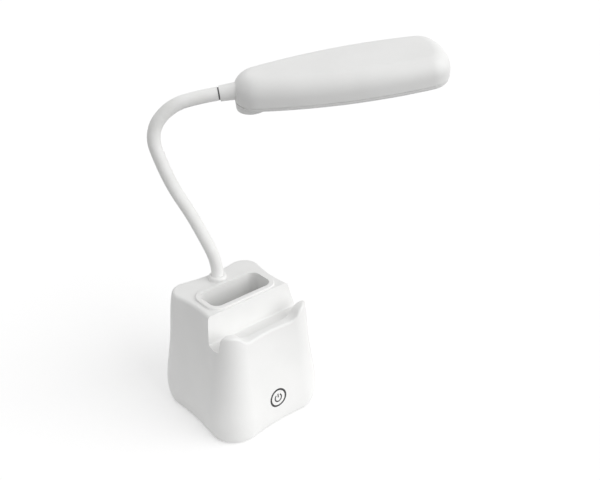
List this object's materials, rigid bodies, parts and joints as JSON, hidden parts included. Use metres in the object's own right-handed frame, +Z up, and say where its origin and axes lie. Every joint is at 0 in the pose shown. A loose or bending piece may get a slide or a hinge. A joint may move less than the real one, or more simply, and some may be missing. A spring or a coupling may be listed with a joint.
{
  "type": "led desk lamp with phone stand",
  "caption": "Cordless LED table lamp: lobed base with a phone slot, a pen cup and a touch key, a flexible neck and a long flat light head.",
  "frame": {"origin": "middle of the base's footprint, on the flat underside of its mat", "axes": "+Z up, -Y towards the front with the touch key and the phone slot, +X to the lamp's right as seen from the front"},
  "size_m": [0.1784, 0.116, 0.2461],
  "materials": {
    "white_shell": "satin",
    "grey_plastic": "matte",
    "mat_rubber": "matte",
    "screw_steel": "satin",
    "plate_steel": "satin",
    "cell_wrap": "gloss",
    "contact_brass": "satin",
    "circuit_board": "satin",
    "chip_black": "matte",
    "light_pipe": "clear",
    "pad_rubber": "matte",
    "mark_grey": "matte",
    "lead_cover": "satin",
    "neck_silicone": "satin",
    "seam_grey": "matte",
    "diffuser_frost": "frosted",
    "reflector_white": "matte",
    "circuit_white": "satin",
    "led_yellow": "gloss",
    "core_steel": "satin"
  },
  "bodies": {
    "base": {"base_shell": "white_shell", "pen_cup": "white_shell", "bottom_cover": "grey_plastic", "anti_slip_mat": "mat_rubber", "cover_screws": "screw_steel", "ballast_plate": "plate_steel", "battery_cell": "cell_wrap", "battery_contacts": "contact_brass", "battery_cradle": "grey_plastic", "control_board": "circuit_board", "board_chips": "chip_black", "board_screws": "screw_steel", "charging_socket": "plate_steel", "socket_tongue": "chip_black", "charge_light_pipe": "light_pipe", "touch_board": "circuit_board", "touch_pad": "pad_rubber", "power_mark": "mark_grey", "battery_leads": "lead_cover", "touch_lead": "lead_cover", "neck_ferrule": "white_shell", "ferrule_nut": "grey_plastic", "neck_root_sleeve": "neck_silicone", "neck_anchor": "plate_steel", "neck_lead": "lead_cover"},
    "link_1": {"neck_sleeve_1": "neck_silicone", "neck_core_1": "core_steel"},
    "link_2": {"neck_sleeve_2": "neck_silicone", "neck_core_2": "core_steel"},
    "link_3": {"neck_sleeve_3": "neck_silicone", "neck_core_3": "core_steel"},
    "link_4": {"neck_sleeve_4": "neck_silicone", "neck_core_4": "core_steel"},
    "link_5": {"neck_sleeve_5": "neck_silicone", "neck_core_5": "core_steel"},
    "link_6": {"neck_sleeve_6": "neck_silicone", "neck_core_6": "core_steel"},
    "link_7": {"neck_sleeve_7": "neck_silicone", "neck_core_7": "core_steel"},
    "link_8": {"neck_sleeve_8": "neck_silicone", "neck_core_8": "core_steel", "neck_spigot": "plate_steel", "spigot_clip": "plate_steel", "swivel_washer": "seam_grey"},
    "head": {"head_collar": "white_shell", "head_top_shell": "white_shell", "head_lower_housing": "white_shell", "diffuser": "diffuser_frost", "reflector": "reflector_white", "led_board": "circuit_white", "led_chips": "led_yellow", "led_board_screws": "screw_steel", "head_screws": "screw_steel", "head_lead": "lead_cover"}
  },
  "joints": [
    {"name": "neck_side_bend", "type": "hinge", "parent": "base", "child": "link_1", "pos_m": [0, 0.0225, 0.092], "axis": [0.848, -0.5299, 0], "range_deg": [-20, 20], "deforming": ["neck_lead"]},
    {"name": "lower_bend", "type": "hinge", "parent": "link_1", "child": "link_2", "pos_m": [-0.00307, 0.02442, 0.11156], "axis": [0.5299, 0.848, 0], "range_deg": [-12, 12], "deforming": ["neck_lead"]},
    {"name": "lower_bend_2", "type": "hinge", "parent": "link_2", "child": "link_3", "pos_m": [-0.00936, 0.02835, 0.13013], "axis": [0.5299, 0.848, 0], "range_deg": [-12, 12], "deforming": ["neck_lead"]},
    {"name": "lower_bend_3", "type": "hinge", "parent": "link_3", "child": "link_4", "pos_m": [-0.01652, 0.03283, 0.14825], "axis": [0.5299, 0.848, 0], "range_deg": [-12, 12], "deforming": ["neck_lead"]},
    {"name": "upper_bend", "type": "hinge", "parent": "link_4", "child": "link_5", "pos_m": [-0.02328, 0.03705, 0.16658], "axis": [0.5299, 0.848, 0], "range_deg": [-22, 8], "deforming": ["neck_lead"]},
    {"name": "upper_bend_2", "type": "hinge", "parent": "link_5", "child": "link_6", "pos_m": [-0.02817, 0.0401, 0.18572], "axis": [0.5299, 0.848, 0], "range_deg": [-22, 8], "deforming": ["neck_lead"]},
    {"name": "upper_bend_3", "type": "hinge", "parent": "link_6", "child": "link_7", "pos_m": [-0.02463, 0.03789, 0.20456], "axis": [0.5299, 0.848, 0], "range_deg": [-22, 8], "deforming": ["neck_lead"]},
    {"name": "upper_bend_4", "type": "hinge", "parent": "link_7", "child": "link_8", "pos_m": [-0.01054, 0.02908, 0.21504], "axis": [0.5299, 0.848, 0], "range_deg": [-22, 8], "deforming": ["neck_lead"]},
    {"name": "head_twist", "type": "hinge", "parent": "link_8", "child": "head", "pos_m": [0.00615, 0.01866, 0.21855], "axis": [0.8423, -0.5263, 0.1167], "range_deg": [-60, 60]}
  ],
  "couplings": [
    {"joint": "lower_bend_2", "follows": "lower_bend", "ratio": 1},
    {"joint": "lower_bend_3", "follows": "lower_bend", "ratio": 1},
    {"joint": "upper_bend_2", "follows": "upper_bend", "ratio": 1},
    {"joint": "upper_bend_3", "follows": "upper_bend", "ratio": 1},
    {"joint": "upper_bend_4", "follows": "upper_bend", "ratio": 1}
  ]
}
